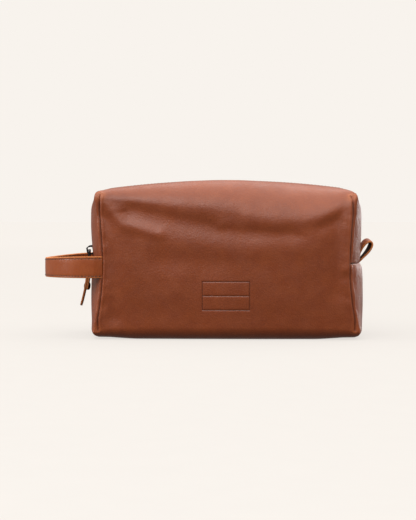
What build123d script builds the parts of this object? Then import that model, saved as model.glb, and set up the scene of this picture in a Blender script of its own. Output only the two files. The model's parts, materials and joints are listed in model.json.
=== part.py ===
"""A boxed leather shaving kit bag: two leather body panels round a lined compartment, a metal zip
over the top and half way down both ends, a strap on the left end and a pull tab on the right.

Millimetres, +Z up, +X along the bag towards the pull tab, -Y towards the front. The origin is the
middle of the flat base. The zip is closed, and its slider is at the left end, above the end seam."""

import os
from math import asin, atan2, cos, degrees, hypot, pi, sin

from build123d import *

# ---------------------------------------------------------------- the body
HEIGHT = 150.0  # base to the crown of the top
CORNER_X = 121.0  # half length at the corner seams
CORNER_Y = 61.0  # half depth at the corner seams
SIDE_Y = 65.0  # half depth where the walls bulge most
WALL_BULGE = 3.5  # how far a wall stands out between its base and its top
TOP_RADIUS = 850.0  # the top's arc along the bag
TOP_CROWN = 2.5  # the top's rise across the bag
TOP_ROUND = 22.0  # rounding of the long top edges
BASE_ROUND = 12.0
BASE_TRIM = 0.4  # cut off the rounded sections, so that the base is one plane
END_ROUND = 12.5  # rounding where the top turns down into the ends
END_CREST_X = 131.5  # half length where the ends bulge most
UPPER_END = (110.0, 180.0)  # height of the bulge and radius of its arc, above the end seam
LOWER_END = (40.0, 102.0)  # the same below the end seam
SEAM_Z = 70.0  # the level seam across each end, where the zip stops
END_CROWN_X = 133.5  # crest of the arc that rounds the ends from front to back

LEATHER = (0.0, 1.6)  # outer and inner depth of each layer below the outer face
TAPE = (1.7, 2.3)
LINING = (2.4, 2.9)

# ---------------------------------------------------------------- the mouth and the zip
CLEARANCE = 0.3  # round each part that moves
MOUTH_X = 104.0  # half length of the flaps that open
MOUTH_Y = 48.0  # distance of the flaps' hinge lines from the zip
WINDOW_Y = 6.0  # half width of the slot in the leather that shows the zip
TAPE_Y = (3.8, 15.0)
LINING_EDGE_Y = 9.0

TOOTH_PITCH = 2.5
TOOTH_LENGTH = 0.8  # along the zip
TOOTH_THICK = 2.4
TOOTH_DEPTH = 2.0  # depth of the teeth's middle below the leather's outer face
TOOTH_Y = (-0.7, 3.6)  # the reach of a closed tooth, past the zip's middle
OPEN_TOOTH_Y = (0.8, 3.6)  # the teeth along the slider's way leave a slit for its neck

SLIDER_Z = 83.0
SLIDER_WIDTH = 9.6
SLIDER_LENGTH = 11.0
SLIDER_PLATE = 0.9
PLATE_DEPTHS = (0.5, 3.5)  # the faces of the two plates that look at the teeth
LIP_DEPTHS = (1.4, 2.6)  # how near the plates' side lips come to the tape
BRIDGE_RISE = 7.6
BRIDGE_WIDTH = 2.0
RING_PIVOT_RISE = 4.8  # height of the ring's upper bar over the leather's outer face
RING_BAR = 1.6
RING_LENGTH = 13.0  # between the middles of its upper and lower bars
RING_WIDTH = 13.0
RING_TILT = 2.0
PULLER_TILT = 7.0
PULLER_LENGTH = 42.0
PULLER_WIDTH = 9.0
PULLER_PLY = 1.2
PULLER_LOOP = 1.5  # inside radius of the fold round the ring's bar
PULLER_FOLD = 25.5  # the length of the shorter, folded ply
RIVET_DROP = 22.0
RIVET_POST = 1.2
RIVET_CAP = 3.7
RIVET_HEAD = 1.0
OPEN_END_Z = 77.0  # the last teeth on the left end, below the slider
CLOSED_END_Z = 75.5  # the last teeth on the right end

# ---------------------------------------------------------------- the strap and the tab
STRAP_CENTRE_X = -119.5
STRAP_RADIUS = 60.5
STRAP_PLY = 1.4
STRAP_WIDTH = 20.0
STRAP_Z = 68.0
STRAP_HINGE_X = -133.5
PLY_GAP = 0.1

TAB_HINGE = (129.2, 70.3)  # x and z
TAB_TILT = 55.0  # above level
TAB_LENGTH = 23.0
TAB_EYE = 3.9  # outside radius of the loop's round end
TAB_ROOT = 1.5
TAB_SLIT_START = 6.0
TAB_LEATHER = 1.4
TAB_WIDTH = 16.0

POCKET_X = 80.0
POCKET_Z = (24.0, 96.0)
POCKET_DEPTH = (3.3, 3.8)

FAR = 300.0  # past every face


# ---------------------------------------------------------------- the body's outline
def top_height(x):
    """Height of the top's crown at a place along the bag."""
    return HEIGHT - TOP_RADIUS + (TOP_RADIUS**2 - x**2) ** 0.5


def upper_centre():
    """Centre of the right end's upper arc, in x and z."""
    return (END_CREST_X - UPPER_END[1], UPPER_END[0])


def round_centre():
    """Centre of the rounding between the right end's upper arc and the top's arc."""
    end_x, end_z = upper_centre()
    top_z = HEIGHT - TOP_RADIUS
    to_end = UPPER_END[1] - END_ROUND
    to_top = TOP_RADIUS - END_ROUND
    apart = hypot(end_x, end_z - top_z)
    along = (to_top**2 - to_end**2 + apart**2) / (2 * apart)
    aside = (to_top**2 - along**2) ** 0.5
    way_x, way_z = end_x / apart, (end_z - top_z) / apart
    return (way_x * along + way_z * aside, top_z + way_z * along - way_x * aside)


def turn(start, end):
    """Angle of the way from one point to another."""
    return atan2(end[1] - start[1], end[0] - start[0])


ROUND_CENTRE = round_centre()
ROUND_START = turn(upper_centre(), ROUND_CENTRE)
ROUND_END = turn((0, HEIGHT - TOP_RADIUS), ROUND_CENTRE)
TOP_RUN = TOP_RADIUS * (pi / 2 - ROUND_END)
ROUND_RUN = END_ROUND * (ROUND_END - ROUND_START)


def zip_place(run, depth):
    """The point run millimetres along the zip from the middle of the top, and the outward angle there."""
    side = -1 if run < 0 else 1
    run = abs(run)
    if run < TOP_RUN:
        centre, radius, angle = (0, HEIGHT - TOP_RADIUS), TOP_RADIUS, pi / 2 - run / TOP_RADIUS
    elif run < TOP_RUN + ROUND_RUN:
        centre, radius, angle = ROUND_CENTRE, END_ROUND, ROUND_END - (run - TOP_RUN) / END_ROUND
    else:
        centre, radius = upper_centre(), UPPER_END[1]
        angle = ROUND_START - (run - TOP_RUN - ROUND_RUN) / UPPER_END[1]
    x = centre[0] + (radius - depth) * cos(angle)
    z = centre[1] + (radius - depth) * sin(angle)
    return side * x, z, angle if side > 0 else pi - angle


def zip_plane(run, depth=0.0):
    """A plane on the zip: its z axis points out of the bag and its x axis to the front."""
    x, z, angle = zip_place(run, depth)
    return Plane(origin=(x, 0, z), x_dir=(0, -1, 0), z_dir=(cos(angle), 0, sin(angle)))


def end_run(z):
    """The run along the zip at which the outer face of the right end is at this height."""
    angle = asin((z - UPPER_END[0]) / UPPER_END[1])
    return TOP_RUN + ROUND_RUN + UPPER_END[1] * (ROUND_START - angle)


MOUTH_RUN = TOP_RADIUS * asin(MOUTH_X / TOP_RADIUS)
ZIP_RUN = end_run(SEAM_Z)


def end_arc_x(centre_z, radius, z):
    """How far out one of the right end's two arcs is at this height."""
    return END_CREST_X - radius + (radius**2 - (z - centre_z) ** 2) ** 0.5


# ---------------------------------------------------------------- the layers of the body
def hull(inset):
    """The solid inside the body's outer face, moved in by inset."""
    with BuildPart() as shape:
        for x in (-140, -70, 0, 70, 140):
            top = top_height(x)
            crest_y = SIDE_Y - (SIDE_Y - CORNER_Y) * (x / CORNER_X) ** 2
            edge_y = crest_y - WALL_BULGE
            with BuildSketch(Plane.YZ.offset(x)) as section:
                with BuildLine():
                    base, shoulder = (edge_y, -BASE_TRIM), (edge_y, top - TOP_CROWN)
                    Line((-base[0], base[1]), base)
                    ThreePointArc(base, (crest_y, top / 2), shoulder)
                    ThreePointArc(shoulder, (0, top + 0.2), (-shoulder[0], shoulder[1]))
                    ThreePointArc((-shoulder[0], shoulder[1]), (-crest_y, top / 2), (-base[0], base[1]))
                make_face()
                fillet(section.vertices().group_by(Axis.Y)[0], radius=BASE_ROUND)
                fillet(section.vertices().group_by(Axis.Y)[-1], radius=TOP_ROUND)
                offset(amount=-inset, mode=Mode.REPLACE)
        loft()
        with BuildSketch(Plane.XZ):
            seam = (end_arc_x(*UPPER_END, SEAM_Z), SEAM_Z)
            base = (end_arc_x(*LOWER_END, 0), 0)
            rise = degrees(ROUND_START)
            seam_angle = degrees(asin((SEAM_Z - UPPER_END[0]) / UPPER_END[1]))
            with BuildLine():
                Line((0, 0), base)
                ThreePointArc(base, (END_CREST_X, LOWER_END[0]), seam)
                CenterArc(upper_centre(), UPPER_END[1], seam_angle, rise - seam_angle)
                CenterArc(ROUND_CENTRE, END_ROUND, rise, degrees(ROUND_END) - rise)
                CenterArc((0, HEIGHT - TOP_RADIUS), TOP_RADIUS, degrees(ROUND_END), 90 - degrees(ROUND_END))
                mirror(about=Plane.YZ)
            outline = make_face()
            fillet(outline.vertices().filter_by(lambda v: abs(v.X) > CORNER_X and v.Y < 1), radius=BASE_ROUND)
            offset(amount=-inset, mode=Mode.REPLACE)
        extrude(amount=FAR, both=True, mode=Mode.INTERSECT)
        with BuildSketch():
            with BuildLine():
                for side in (-1, 1):
                    corners = (side * CORNER_X, -CORNER_Y - 1), (side * CORNER_X, CORNER_Y + 1)
                    ThreePointArc(corners[0], (side * END_CROWN_X, 0), corners[1])
                for side in (-1, 1):
                    ThreePointArc(
                        (-CORNER_X, side * (CORNER_Y + 1)), (0, side * (SIDE_Y + 3)),
                        (CORNER_X, side * (CORNER_Y + 1))
                    )
            make_face()
            offset(amount=-inset, mode=Mode.REPLACE)
        extrude(amount=FAR, both=True, mode=Mode.INTERSECT)
    return shape.part


def layer(depths):
    """One layer of the body, between two depths below its outer face."""
    with BuildPart() as skin:
        add(hull(depths[0]))
        add(hull(depths[1]), mode=Mode.SUBTRACT)
    return skin.part


def block(low, high, mode=Mode.INTERSECT):
    """Keep or take away the box between two corners."""
    size = [b - a for a, b in zip(low, high)]
    with Locations(tuple((a + b) / 2 for a, b in zip(low, high))):
        Box(*size, mode=mode)


def label_and_export(name, piece):
    piece.label = name
    export_step(piece, f"parts/{name}.step")
    print(name, len(piece.solids()), round(piece.volume / 1000, 2))


def export_pair(name, piece):
    """Write a front piece, and its mirror image as the back one."""
    label_and_export(f"front_{name}", piece)
    with BuildPart() as image:
        mirror(piece, about=Plane.XZ)
    label_and_export(f"back_{name}", image.part)


def base_piece(skin, edge_y):
    """The front half of a layer that stays with the body, with its edge this far from the zip."""
    with BuildPart() as piece:
        add(skin)
        block((-FAR, -FAR, -FAR), (FAR, 0, FAR))
        block((-FAR, -edge_y, SEAM_Z), (FAR, FAR, FAR), mode=Mode.SUBTRACT)
        block(
            (-MOUTH_X - CLEARANCE, -MOUTH_Y - CLEARANCE, HEIGHT / 2), (MOUTH_X + CLEARANCE, FAR, FAR),
            mode=Mode.SUBTRACT,
        )
    return piece.part


def flap_piece(skin, near_y, far_y):
    """The part of a layer in the front flap, between two distances from the zip."""
    with BuildPart() as piece:
        add(skin)
        block((-MOUTH_X, -far_y, HEIGHT / 2), (MOUTH_X, -near_y, FAR))
    return piece.part


def end_tapes(skin, side):
    """Both tapes' stretches on one end, from the flaps down to the end seam."""
    with BuildPart() as tapes:
        add(skin)
        near, far = sorted((side * (MOUTH_X + CLEARANCE), side * FAR))
        block((near, -TAPE_Y[1], SEAM_Z + 0.5), (far, TAPE_Y[1], FAR))
        block((-FAR, -TAPE_Y[0], 0), (FAR, TAPE_Y[0], FAR), mode=Mode.SUBTRACT)
    return tapes.part


def teeth(side, start, stop, reach):
    """One tape's teeth between two runs; side is -1 for the front tape and 1 for the back one."""
    first = TOOTH_PITCH / 4 * side
    steps = range(int(start / TOOTH_PITCH) - 2, int(stop / TOOTH_PITCH) + 3)
    runs = [first + step * TOOTH_PITCH for step in steps]
    margin = TOOTH_LENGTH / 2 + CLEARANCE
    with BuildPart() as row:
        for run in runs:
            if start + margin < run < stop - margin:
                with BuildSketch(zip_plane(run, TOOTH_DEPTH).offset(-TOOTH_THICK / 2)):
                    with Locations((-side * (reach[0] + reach[1]) / 2, 0)):
                        Rectangle(reach[1] - reach[0], TOOTH_LENGTH)
        extrude(amount=TOOTH_THICK)
    return row.part


# ---------------------------------------------------------------- slider, ring and puller
def slider():
    """Two plates joined by a neck at the top, flanges along both sides, and the bridge for the ring."""
    face = zip_plane(-end_run(SLIDER_Z))
    with BuildPart() as body:
        for depth, thick in ((PLATE_DEPTHS[0], SLIDER_PLATE), (PLATE_DEPTHS[1], -SLIDER_PLATE)):
            with BuildSketch(face.offset(-depth)):
                plate = Rectangle(SLIDER_WIDTH, SLIDER_LENGTH)
                fillet(plate.vertices(), radius=2)
            extrude(amount=thick)
        with BuildSketch(face.offset(-PLATE_DEPTHS[1])):
            with Locations((0, SLIDER_LENGTH / 2 - 1.6)):
                Rectangle(1.0, 2.8)
        extrude(amount=PLATE_DEPTHS[1] - PLATE_DEPTHS[0])
        for plate_depth, lip_depth in zip(PLATE_DEPTHS, LIP_DEPTHS):
            with BuildSketch(face.offset(-plate_depth)):
                with Locations((SLIDER_WIDTH / 2 - 0.4, -0.5), (0.4 - SLIDER_WIDTH / 2, -0.5)):
                    Rectangle(0.8, SLIDER_LENGTH - 5)
            extrude(amount=plate_depth - lip_depth)
        with BuildSketch(Plane(origin=face.origin, x_dir=face.y_dir, z_dir=(0, -1, 0))):
            with BuildLine():
                Polyline(
                    (-4.6, 0), (-4.6, 4.2), (-2.6, BRIDGE_RISE), (2.6, BRIDGE_RISE), (4.6, 4.2), (4.6, 0),
                    close=True,
                )
            make_face()
            with Locations((0, 3.9)):
                RectangleRounded(5.6, 4.6, 1.2, mode=Mode.SUBTRACT)
        extrude(amount=BRIDGE_WIDTH / 2, both=True)
    return body.part


def hanging_plane(origin, tilt):
    """A plane of something that hangs from origin and leans out: x to the front, y up along it, z out."""
    lean = tilt * pi / 180
    return Plane(origin=origin, x_dir=(0, -1, 0), z_dir=(-cos(lean), 0, sin(lean)))


def pull_ring(plane):
    """A flat rectangular ring of square section, with its upper bar at the plane's origin."""
    inner = (RING_WIDTH - 2 * RING_BAR, RING_LENGTH - RING_BAR)
    with BuildPart() as ring:
        with BuildSketch(plane.offset(-RING_BAR / 2)):
            with Locations((0, -RING_LENGTH / 2)):
                RectangleRounded(RING_WIDTH, RING_LENGTH + RING_BAR, 2.4)
                RectangleRounded(inner[0], inner[1], 1.0, mode=Mode.SUBTRACT)
        extrude(amount=RING_BAR)
    return ring.part


def puller_profile_plane(plane):
    """The same place seen from the front: x out of the bag, y up along the puller."""
    return Plane(origin=plane.origin, x_dir=plane.z_dir, z_dir=(0, 1, 0))


def puller_leather(plane):
    """A strip folded round the ring's lower bar, its long ply outside and its short ply towards the bag."""
    with BuildPart() as strip:
        with BuildSketch(puller_profile_plane(plane)):
            Circle(PULLER_LOOP + PULLER_PLY)
            with Locations((PULLER_PLY / 2, -PULLER_LENGTH / 2 - 1)):
                Rectangle(PULLER_PLY, PULLER_LENGTH - 2)
            with Locations((-PULLER_PLY / 2, -PULLER_FOLD / 2 - 1)):
                Rectangle(PULLER_PLY, PULLER_FOLD - 2)
            Circle(PULLER_LOOP, mode=Mode.SUBTRACT)
        extrude(amount=PULLER_WIDTH / 2, both=True)
        with BuildSketch(plane.offset(-3)):
            with Locations((0, -RIVET_DROP)):
                Circle(RIVET_POST)
        extrude(amount=6, mode=Mode.SUBTRACT)
    return strip.part


def puller_rivet(plane):
    """A post through both plies with a domed head on each side."""
    side = puller_profile_plane(plane)
    with BuildPart() as rivet:
        with BuildSketch(side):
            with BuildLine():
                Polyline(
                    (-PULLER_PLY - RIVET_HEAD, -RIVET_DROP), (PULLER_PLY + RIVET_HEAD, -RIVET_DROP),
                    (PULLER_PLY + 0.3 * RIVET_HEAD, RIVET_CAP - RIVET_DROP), (PULLER_PLY, RIVET_CAP - RIVET_DROP),
                    (PULLER_PLY, RIVET_POST - RIVET_DROP), (-PULLER_PLY, RIVET_POST - RIVET_DROP),
                    (-PULLER_PLY, RIVET_CAP - RIVET_DROP),
                    (-PULLER_PLY - 0.3 * RIVET_HEAD, RIVET_CAP - RIVET_DROP), close=True,
                )
            make_face()
        middle = side.from_local_coords((0, -RIVET_DROP, 0))
        revolve(axis=Axis(middle, side.x_dir))
    return rivet.part


# ---------------------------------------------------------------- the strap and the tab
def strap_ply(radius):
    """One ply of the side strap: a half ring on edge, its ends rounded about the strap's hinge line."""
    with BuildPart() as ply:
        with BuildSketch(Plane.XY.offset(STRAP_Z - STRAP_WIDTH / 2)):
            with Locations((STRAP_CENTRE_X, 0)):
                Circle(radius)
                Circle(radius - STRAP_PLY, mode=Mode.SUBTRACT)
        extrude(amount=STRAP_WIDTH)
        with BuildSketch(Plane.XZ):
            with Locations((STRAP_HINGE_X, STRAP_Z)):
                Circle(STRAP_WIDTH / 2)
                Rectangle(STRAP_RADIUS, STRAP_WIDTH, align=(Align.MAX, Align.CENTER))
        extrude(amount=FAR, both=True, mode=Mode.INTERSECT)
    return ply.part


def end_tab():
    """A strip of leather folded into a loop, its two ends caught in the end seam."""
    lean = TAB_TILT * pi / 180
    side = Plane(origin=(TAB_HINGE[0], 0, TAB_HINGE[1]), x_dir=(cos(lean), 0, sin(lean)), z_dir=(0, -1, 0))
    eye_x = TAB_LENGTH - TAB_EYE
    with BuildPart() as tab:
        with BuildSketch(side):
            with BuildLine():
                CenterArc((0, 0), TAB_ROOT, 0, 360)
                CenterArc((eye_x, 0), TAB_EYE, 0, 360)
            make_hull()
        extrude(amount=TAB_WIDTH / 2, both=True)
        with BuildSketch(side):
            with BuildLine():
                CenterArc((TAB_SLIT_START, 0), 0.2, 0, 360)
                CenterArc((eye_x, 0), TAB_EYE - TAB_LEATHER, 0, 360)
            make_hull()
        extrude(amount=TAB_WIDTH, both=True, mode=Mode.SUBTRACT)
    return tab.part


# ---------------------------------------------------------------- the pieces
os.makedirs("parts", exist_ok=True)

leather = layer(LEATHER)
tape = layer(TAPE)
lining = layer(LINING)

export_pair("panel", base_piece(leather, WINDOW_Y))
export_pair("top_panel", flap_piece(leather, WINDOW_Y, MOUTH_Y))
export_pair("lining", base_piece(lining, LINING_EDGE_Y))
export_pair("top_lining", flap_piece(lining, LINING_EDGE_Y, MOUTH_Y))
export_pair("zip_tape", flap_piece(tape, *TAPE_Y))

with BuildPart() as slip_pocket:
    add(layer(POCKET_DEPTH))
    block((-POCKET_X, MOUTH_Y, POCKET_Z[0]), (POCKET_X, FAR, POCKET_Z[1]))
label_and_export("slip_pocket", slip_pocket.part)

label_and_export("left_end_tapes", end_tapes(tape, -1))
label_and_export("right_end_tapes", end_tapes(tape, 1))

label_and_export("front_zip_teeth", teeth(-1, -MOUTH_RUN, MOUTH_RUN, TOOTH_Y))
label_and_export("back_zip_teeth", teeth(1, -MOUTH_RUN, MOUTH_RUN, TOOTH_Y))
for name, start, stop, reach in (
    ("left_end_teeth", -end_run(OPEN_END_Z), -MOUTH_RUN, OPEN_TOOTH_Y),
    ("right_end_teeth", MOUTH_RUN, end_run(CLOSED_END_Z), TOOTH_Y),
):
    with BuildPart() as both_rows:
        add(teeth(-1, start, stop, reach))
        add(teeth(1, start, stop, reach))
    label_and_export(name, both_rows.part)

with BuildPart() as zip_stops:
    for side, z, reach in ((-1, OPEN_END_Z, OPEN_TOOTH_Y), (1, CLOSED_END_Z, (0, TOOTH_Y[1]))):
        with BuildSketch(zip_plane(side * (end_run(z) + 1.5), TOOTH_DEPTH).offset(-TOOTH_THICK / 2)):
            for half in (-1, 1):
                with Locations((half * (reach[0] + reach[1]) / 2, 0)):
                    Rectangle(reach[1] - reach[0], 2)
    extrude(amount=TOOTH_THICK)
label_and_export("zip_stops", zip_stops.part)

pivot_x, pivot_z, _ = zip_place(-end_run(SLIDER_Z), -RING_PIVOT_RISE)
ring_plane = hanging_plane((pivot_x, 0, pivot_z), RING_TILT)
puller_plane = hanging_plane(ring_plane.from_local_coords((0, -RING_LENGTH, 0)), PULLER_TILT)
label_and_export("slider_body", slider())
label_and_export("pull_ring", pull_ring(ring_plane))
label_and_export("puller_leather", puller_leather(puller_plane))
label_and_export("puller_rivet", puller_rivet(puller_plane))

label_and_export("strap_outer_ply", strap_ply(STRAP_RADIUS))
label_and_export("strap_inner_ply", strap_ply(STRAP_RADIUS - STRAP_PLY - PLY_GAP))
label_and_export("end_tab", end_tab())
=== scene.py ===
"""The looks of a leather shaving kit bag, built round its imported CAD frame.

Blender works in metres. The shape functions below work in millimetres, in the same axes: +X along the
bag towards the end tab, -Y out of the front wall, +Z up, with the origin in the middle of the base."""
import json
import math

import bmesh
import bpy
import numpy as np
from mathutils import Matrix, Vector, noise


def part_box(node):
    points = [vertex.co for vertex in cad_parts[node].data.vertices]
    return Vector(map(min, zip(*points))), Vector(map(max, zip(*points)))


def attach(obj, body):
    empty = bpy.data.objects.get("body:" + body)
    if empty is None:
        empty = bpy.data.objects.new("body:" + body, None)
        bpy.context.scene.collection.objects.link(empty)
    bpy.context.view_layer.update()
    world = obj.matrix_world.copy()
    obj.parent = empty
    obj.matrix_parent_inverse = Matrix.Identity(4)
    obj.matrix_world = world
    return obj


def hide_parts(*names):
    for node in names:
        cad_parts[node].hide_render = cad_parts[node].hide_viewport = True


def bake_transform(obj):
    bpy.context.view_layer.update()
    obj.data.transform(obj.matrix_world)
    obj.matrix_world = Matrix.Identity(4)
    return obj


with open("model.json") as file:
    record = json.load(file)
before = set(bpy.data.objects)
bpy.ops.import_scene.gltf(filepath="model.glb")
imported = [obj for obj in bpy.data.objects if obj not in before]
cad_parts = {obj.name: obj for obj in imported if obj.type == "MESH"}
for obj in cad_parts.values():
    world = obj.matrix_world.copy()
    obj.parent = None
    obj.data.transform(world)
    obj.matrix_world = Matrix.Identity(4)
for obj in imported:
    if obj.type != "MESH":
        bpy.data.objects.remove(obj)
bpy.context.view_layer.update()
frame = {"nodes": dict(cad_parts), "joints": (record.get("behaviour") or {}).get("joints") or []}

MM = 0.001
WIDE, UP = np.array([0.0, 1.0, 0.0]), np.array([0.0, 0.0, 1.0])  # the bag's width and height as directions
HALF = {-1: "front", 1: "back"}  # each half's name by its side of the zip


def mm_box(node):
    """A CAD node's lowest and highest corners, in millimetres."""
    low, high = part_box(node)
    return np.array(low) / MM, np.array(high) / MM


def joint(name):
    return next(j for j in frame["joints"] if j["name"] == name)


# ---- sizes, in millimetres
panel_low, panel_high = mm_box("front_panel")
flap_low, flap_high = mm_box("front_top_panel")
HEIGHT = flap_high[2]
END_CREST_X = panel_high[0]
SIDE_Y = -panel_low[1]
WINDOW_Y = -flap_high[1]
SEAM_Z = mm_box("right_end_tapes")[0][2] + 0.8

TOP_RADIUS = 850.0
TOP_CROWN = 2.5
CORNER_ROUND = 2.4
TIP_ROUND = 5.0  # radius of every edge where it runs out into a corner's tip
UPPER_END = (108.0, 230.0)  # height and radius of the end's upper bulge
LOWER_END = (40.0, 480.0, 330.0)  # the same of its lower one, with another radius below that height
SHOULDER = (3.6, 6.5)  # how far and how high the lower bulge rounds off into the end seam
CORNER_X = (126.0, 117.0, 123.5)  # half length at the corner seams: base, middle, top
CORNER_Y = 61.0
CORNER_RISE = 66.0  # from the end seam to where a corner seam has its full half length
END_SLACK = 1.8  # how far the right end sinks in above its seam
HALF_HEIGHT = 75.0
WALL_TAPER = 3.5  # how far the walls lean in at the top and base
WALL_X, ROUND_X = 121.0, 122.0  # half lengths where the walls' curve and the edges' roundness run out
BASE_LIFT = 3.4  # how high the base curls up at its corners
BASE_CURL = ((80, 46), (26, 38))  # its start and length, along and across
TOP_FULLER = (22, 0.13)  # added roundness of the long top edges, and how it changes along the bag
END_FULLER, BASE_FULLER = 15, (7, 4)  # the same of the ends' top edges and of the base's long and end edges
LEATHER = 1.6

INNER = (104.0, 36.0, 18.0, 116.0)  # the box that the surface's rays start from: x, y, low z, high z
FLAT_MIDDLE = (INNER[2] + INNER[3]) / 2
FLAT_REACH = (INNER[3] - INNER[2]) / 2
RISE = (21.0, 10.0)  # from that box up to the top's edge and down to the base's
REACH = 2.6  # how far past the surface the rays go


# ---- the body's shape
def smooth_step(t):
    t = np.clip(t, 0, 1)
    return t * t * (3 - 2 * t)


def corner_x(z):
    """Half length at the corner seams, drawn in at mid height."""
    base, middle, top = CORNER_X
    t = (z - SEAM_Z) / CORNER_RISE
    return middle + np.where(t < 0, base - middle, top - middle) * np.minimum(t * t, 1.3)


def end_x(z):
    """Half length along the middle of the end wall: two bulges that meet in the end seam."""
    z = np.clip(z, -20, 170)
    upper = np.sqrt(UPPER_END[1] ** 2 - (z - UPPER_END[0]) ** 2) - UPPER_END[1]
    bend = np.where(z > LOWER_END[0], LOWER_END[1], LOWER_END[2])
    lower = np.sqrt(bend**2 - np.clip(z - LOWER_END[0], -60, 60) ** 2) - bend
    near_seam = 1 - np.clip((SEAM_Z - z) / SHOULDER[1], 0, 1)
    lower = lower - SHOULDER[0] * (1 - np.sqrt(1 - near_seam**2))
    return END_CREST_X + np.where(z > SEAM_Z, upper, lower)


def rounded(a, b, radius):
    """Two faces' signed distances joined with a rounded edge."""
    both = np.hypot(np.maximum(a + radius, 0), np.maximum(b + radius, 0))
    return np.minimum(-radius, np.maximum(a, b)) + both


def outside(p):
    """Negative inside the bag's outer face, positive outside it; p is an array of points."""
    x, y, z = np.abs(p[..., 0]), np.abs(p[..., 1]), p[..., 2]
    top = z - (HEIGHT - TOP_RADIUS + np.sqrt(TOP_RADIUS**2 - x**2) - TOP_CROWN * (y / CORNER_Y) ** 2)
    to_end, to_wall = np.minimum(x / ROUND_X, 1), np.minimum(y / CORNER_Y, 1)
    (x_curl, x_more), (y_curl, y_more) = BASE_CURL
    base = BASE_LIFT * smooth_step((x - x_curl) / x_more) * smooth_step((y - y_curl) / y_more) - z
    lean = WALL_TAPER * ((z - HALF_HEIGHT) / HALF_HEIGHT) ** 2
    wall = y - (SIDE_Y - (SIDE_Y - CORNER_Y) * (x / WALL_X) ** 2 - lean)
    across = np.clip(y / CORNER_Y, 0, 1) ** 2.3
    slack = END_SLACK * (p[..., 0] > 0) * smooth_step((z - SEAM_Z) / 20)
    end = x - ((end_x(z) - slack) * (1 - across) + corner_x(z) * across)
    fuller = TOP_FULLER[0] - TOP_FULLER[1] * p[..., 0] * np.sign(p[..., 1])
    top_round = TIP_ROUND + 2 + (1 - to_end**4) * fuller
    end_round = TIP_ROUND + END_FULLER * (1 - to_wall**3)
    base_round = TIP_ROUND + BASE_FULLER[0] * (1 - to_end**6)
    heel_round = TIP_ROUND + BASE_FULLER[1] * (1 - to_wall**4)
    return np.max([
        rounded(top, wall, top_round), rounded(top, end, end_round), rounded(wall, end, CORNER_ROUND),
        rounded(base, wall, base_round), rounded(base, end, heel_round),
    ], axis=0)


def project(alpha, beta, gamma, inset):
    """Points of the body's face, moved in by inset. Each coordinate is -1 to 1 over a wall's flat and goes
    on to 2 at the edges; a corner seam lies where alpha and beta are both 2."""
    z_flat = FLAT_MIDDLE + FLAT_REACH * np.clip(gamma, -1, 1)
    start = np.stack([INNER[0] * np.clip(alpha, -1, 1), INNER[1] * np.clip(beta, -1, 1), z_flat], -1)
    over = np.stack([np.sign(c) * np.maximum(np.abs(c) - 1, 0) for c in (alpha, beta, gamma)], -1)
    rise = np.where(over[..., 2] > 0, *RISE)
    corner = np.stack([corner_x(z_flat) - INNER[0], np.full_like(alpha, CORNER_Y - INNER[1]), rise], -1)
    stop = start + over * corner * REACH
    near, far = np.zeros(alpha.shape), np.ones(alpha.shape)
    for _ in range(28):
        middle = (near + far) / 2
        outer = outside(start + (stop - start) * middle[..., None]) > -inset
        far = np.where(outer, middle, far)
        near = np.where(outer, near, middle)
    return start + (stop - start) * ((near + far) / 2)[..., None]


def edge_steps(count, ease):
    """Values over 1 and up to 2, closer together near 2."""
    return 1 + (1 - (1 - np.linspace(0, 1, count)[1:]) ** ease)


def both_ways(half):
    return np.concatenate([-half[::-1], half[1:]])


def unit(vectors):
    return vectors / np.linalg.norm(vectors, axis=-1, keepdims=True)


def lengths_along(line):
    """Each point's length along a line of points."""
    return np.concatenate([[0], np.cumsum(np.linalg.norm(np.diff(line, axis=0), axis=1))])


# ---- mesh helpers
def mesh_object(name, points, faces, closed=False):
    """A smooth mesh object from points in millimetres. A closed one gets its faces turned outwards."""
    mesh = bpy.data.meshes.new(name)
    mesh.from_pydata([tuple(p) for p in np.asarray(points, float) * MM], [], [tuple(f) for f in faces])
    if closed:
        shape = bmesh.new()
        shape.from_mesh(mesh)
        bmesh.ops.recalc_face_normals(shape, faces=shape.faces)
        shape.to_mesh(mesh)
        shape.free()
    mesh.polygons.foreach_set("use_smooth", [True] * len(mesh.polygons))
    made = bpy.data.objects.new(name, mesh)
    bpy.context.scene.collection.objects.link(made)
    return made


def points_of(made):
    return np.array([v.co for v in made.data.vertices]) / MM


def grid_faces(rows, columns, first=0, flip=False):
    """The quads of a grid of points, turned over when flip is set."""
    corners = [first + i * columns + j for i in range(rows - 1) for j in range(columns - 1)]
    return [(a, a + 1, a + columns + 1, a + columns)[::-1 if flip else 1] for a in corners]


def tube_faces(rings, count, first=0):
    """The faces of closed rings of points that follow one another, with a cap on either end."""
    faces = []
    for a in range(first, first + (rings - 1) * count, count):
        for j in range(count):
            k = (j + 1) % count
            faces.append((a + j, a + count + j, a + count + k, a + k))
    last = first + (rings - 1) * count
    return faces + [range(first, first + count), range(last, last + count)[::-1]]


def weld(points, faces, distance=0.01):
    """Merge the points that neighbouring patches share."""
    keys, index, kept = {}, [], []
    for p in points:
        key = tuple(np.round(p / distance).astype(int))
        if key not in keys:
            keys[key] = len(kept)
            kept.append(p)
        index.append(keys[key])
    loops = [list(dict.fromkeys(index[i] for i in face)) for face in faces]
    return np.array(kept), [loop for loop in loops if len(loop) > 2]


def point_normals(points, faces):
    """Smooth normals of a welded surface, pointing as its faces do."""
    total = np.zeros_like(points)
    quads = np.array([f if len(f) == 4 else [*f, f[0]] for f in faces])
    a, b, c, d = (points[quads[:, k]] for k in range(4))
    normal = np.cross(c - a, d - b)
    for k in range(4):
        np.add.at(total, quads[:, k], normal)
    return total / np.maximum(np.linalg.norm(total, axis=1), 1e-9)[:, None]


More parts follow.
